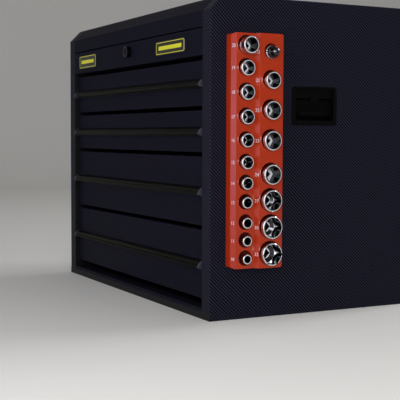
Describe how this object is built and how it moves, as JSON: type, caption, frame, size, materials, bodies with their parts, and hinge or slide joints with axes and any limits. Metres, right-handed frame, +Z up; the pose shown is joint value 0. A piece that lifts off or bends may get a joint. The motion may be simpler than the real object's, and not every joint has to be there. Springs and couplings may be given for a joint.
{
  "type": "drawer tool chest with magnetic socket tray",
  "caption": "Steel top chest with lift-up lid, lock, wide-pull drawers on telescopic slides and folding side grips, with a two-level magnetic socket tray on its side.",
  "frame": {"origin": "middle of the underside of the case", "axes": "+Z up, drawers open towards -Y, socket tray on the +X side"},
  "size_m": [0.7327, 0.4198, 0.5435],
  "materials": {
    "black_film": "satin woven film",
    "inner_paint": "satin",
    "pull_black": "black anodised",
    "cap_grey": "satin",
    "handle_black": "moulded grain",
    "slide_steel": "zinc plated",
    "tray_red": "satin",
    "base_steel": "plain",
    "chrome": "polished"
  },
  "bodies": {
    "case": {"side_right": "black_film", "side_left": "black_film", "side_liners": "inner_paint", "floor_panel": "black_film", "bottom_rail": "black_film", "header": "black_film", "back_panel": "black_film", "till_floor": "inner_paint", "hinge_case_leaf": "slide_steel", "lock_collar": "chrome", "handle_pan_right": "handle_black", "handle_pan_left": "handle_black", "slide_rails": "slide_steel"},
    "lid": {"lid": "black_film", "hinge_lid_leaf": "slide_steel"},
    "lock_barrel": {"lock_barrel": "chrome"},
    "grip_right": {"grip_right": "handle_black"},
    "grip_left": {"grip_left": "handle_black"},
    "tray": {"tray_shell": "tray_red", "tray_base": "base_steel"},
    "drawer_1": {"drawer_1": "black_film", "pull_1": "pull_black", "pull_caps_1": "cap_grey", "slide_inner_1": "slide_steel"},
    "slide_middle_1": {"slide_middle_1": "slide_steel"},
    "drawer_2": {"drawer_2": "black_film", "pull_2": "pull_black", "pull_caps_2": "cap_grey", "slide_inner_2": "slide_steel"},
    "slide_middle_2": {"slide_middle_2": "slide_steel"},
    "drawer_3": {"drawer_3": "black_film", "pull_3": "pull_black", "pull_caps_3": "cap_grey", "slide_inner_3": "slide_steel"},
    "slide_middle_3": {"slide_middle_3": "slide_steel"},
    "drawer_4": {"drawer_4": "black_film", "pull_4": "pull_black", "pull_caps_4": "cap_grey", "slide_inner_4": "slide_steel"},
    "slide_middle_4": {"slide_middle_4": "slide_steel"},
    "socket_10": {"socket_10": "chrome"},
    "socket_11": {"socket_11": "chrome"},
    "socket_12": {"socket_12": "chrome"},
    "socket_13": {"socket_13": "chrome"},
    "socket_14": {"socket_14": "chrome"},
    "socket_15": {"socket_15": "chrome"},
    "socket_16": {"socket_16": "chrome"},
    "socket_17": {"socket_17": "chrome"},
    "socket_18": {"socket_18": "chrome"},
    "socket_19": {"socket_19": "chrome"},
    "socket_20": {"socket_20": "chrome"},
    "socket_32": {"socket_32": "chrome"},
    "socket_30": {"socket_30": "chrome"},
    "socket_27": {"socket_27": "chrome"},
    "socket_24": {"socket_24": "chrome"},
    "socket_23": {"socket_23": "chrome"},
    "socket_22": {"socket_22": "chrome"},
    "socket_21": {"socket_21": "chrome"},
    "socket_adapter": {"socket_adapter": "chrome"}
  },
  "joints": [
    {"name": "lid_hinge", "type": "hinge", "parent": "case", "child": "lid", "pos_m": [0, 0.2018, 0.4934], "axis": [-1, 0, 0], "range_deg": [0, 90]},
    {"name": "lock_turn", "type": "hinge", "parent": "case", "child": "lock_barrel", "pos_m": [0, -0.205, 0.4733], "axis": [0, 1, 0], "range_deg": [0, 90]},
    {"name": "grip_right_swing", "type": "hinge", "parent": "case", "child": "grip_right", "pos_m": [0.333, 0, 0.3692], "axis": [0, -1, 0], "range_deg": [0, 90]},
    {"name": "grip_left_swing", "type": "hinge", "parent": "case", "child": "grip_left", "pos_m": [-0.333, 0, 0.3692], "axis": [0, 1, 0], "range_deg": [0, 90]},
    {"name": "drawer_1_slide", "type": "slide", "parent": "case", "child": "drawer_1", "axis": [0, -1, 0], "range_m": [0, 0.33]},
    {"name": "slide_middle_1_slide", "type": "slide", "parent": "case", "child": "slide_middle_1", "axis": [0, -1, 0], "range_m": [0, 0.165]},
    {"name": "drawer_2_slide", "type": "slide", "parent": "case", "child": "drawer_2", "axis": [0, -1, 0], "range_m": [0, 0.33]},
    {"name": "slide_middle_2_slide", "type": "slide", "parent": "case", "child": "slide_middle_2", "axis": [0, -1, 0], "range_m": [0, 0.165]},
    {"name": "drawer_3_slide", "type": "slide", "parent": "case", "child": "drawer_3", "axis": [0, -1, 0], "range_m": [0, 0.33]},
    {"name": "slide_middle_3_slide", "type": "slide", "parent": "case", "child": "slide_middle_3", "axis": [0, -1, 0], "range_m": [0, 0.165]},
    {"name": "drawer_4_slide", "type": "slide", "parent": "case", "child": "drawer_4", "axis": [0, -1, 0], "range_m": [0, 0.33]},
    {"name": "slide_middle_4_slide", "type": "slide", "parent": "case", "child": "slide_middle_4", "axis": [0, -1, 0], "range_m": [0, 0.165]},
    {"name": "tray_pull_off", "type": "slide", "parent": "case", "child": "tray", "axis": [1, 0, 0], "range_m": [0, 0.08]},
    {"name": "socket_10_lift_out", "type": "slide", "parent": "tray", "child": "socket_10", "axis": [1, 0, 0], "range_m": [0, 0.06]},
    {"name": "socket_11_lift_out", "type": "slide", "parent": "tray", "child": "socket_11", "axis": [1, 0, 0], "range_m": [0, 0.06]},
    {"name": "socket_12_lift_out", "type": "slide", "parent": "tray", "child": "socket_12", "axis": [1, 0, 0], "range_m": [0, 0.06]},
    {"name": "socket_13_lift_out", "type": "slide", "parent": "tray", "child": "socket_13", "axis": [1, 0, 0], "range_m": [0, 0.06]},
    {"name": "socket_14_lift_out", "type": "slide", "parent": "tray", "child": "socket_14", "axis": [1, 0, 0], "range_m": [0, 0.06]},
    {"name": "socket_15_lift_out", "type": "slide", "parent": "tray", "child": "socket_15", "axis": [1, 0, 0], "range_m": [0, 0.06]},
    {"name": "socket_16_lift_out", "type": "slide", "parent": "tray", "child": "socket_16", "axis": [1, 0, 0], "range_m": [0, 0.06]},
    {"name": "socket_17_lift_out", "type": "slide", "parent": "tray", "child": "socket_17", "axis": [1, 0, 0], "range_m": [0, 0.06]},
    {"name": "socket_18_lift_out", "type": "slide", "parent": "tray", "child": "socket_18", "axis": [1, 0, 0], "range_m": [0, 0.06]},
    {"name": "socket_19_lift_out", "type": "slide", "parent": "tray", "child": "socket_19", "axis": [1, 0, 0], "range_m": [0, 0.06]},
    {"name": "socket_20_lift_out", "type": "slide", "parent": "tray", "child": "socket_20", "axis": [1, 0, 0], "range_m": [0, 0.06]},
    {"name": "socket_32_lift_out", "type": "slide", "parent": "tray", "child": "socket_32", "axis": [1, 0, 0], "range_m": [0, 0.06]},
    {"name": "socket_30_lift_out", "type": "slide", "parent": "tray", "child": "socket_30", "axis": [1, 0, 0], "range_m": [0, 0.06]},
    {"name": "socket_27_lift_out", "type": "slide", "parent": "tray", "child": "socket_27", "axis": [1, 0, 0], "range_m": [0, 0.06]},
    {"name": "socket_24_lift_out", "type": "slide", "parent": "tray", "child": "socket_24", "axis": [1, 0, 0], "range_m": [0, 0.06]},
    {"name": "socket_23_lift_out", "type": "slide", "parent": "tray", "child": "socket_23", "axis": [1, 0, 0], "range_m": [0, 0.06]},
    {"name": "socket_22_lift_out", "type": "slide", "parent": "tray", "child": "socket_22", "axis": [1, 0, 0], "range_m": [0, 0.06]},
    {"name": "socket_21_lift_out", "type": "slide", "parent": "tray", "child": "socket_21", "axis": [1, 0, 0], "range_m": [0, 0.06]},
    {"name": "socket_adapter_lift_out", "type": "slide", "parent": "tray", "child": "socket_adapter", "axis": [1, 0, 0], "range_m": [0, 0.06]}
  ],
  "couplings": [
    {"joint": "slide_middle_1_slide", "follows": "drawer_1_slide", "ratio": 0.5},
    {"joint": "slide_middle_2_slide", "follows": "drawer_2_slide", "ratio": 0.5},
    {"joint": "slide_middle_3_slide", "follows": "drawer_3_slide", "ratio": 0.5},
    {"joint": "slide_middle_4_slide", "follows": "drawer_4_slide", "ratio": 0.5}
  ]
}
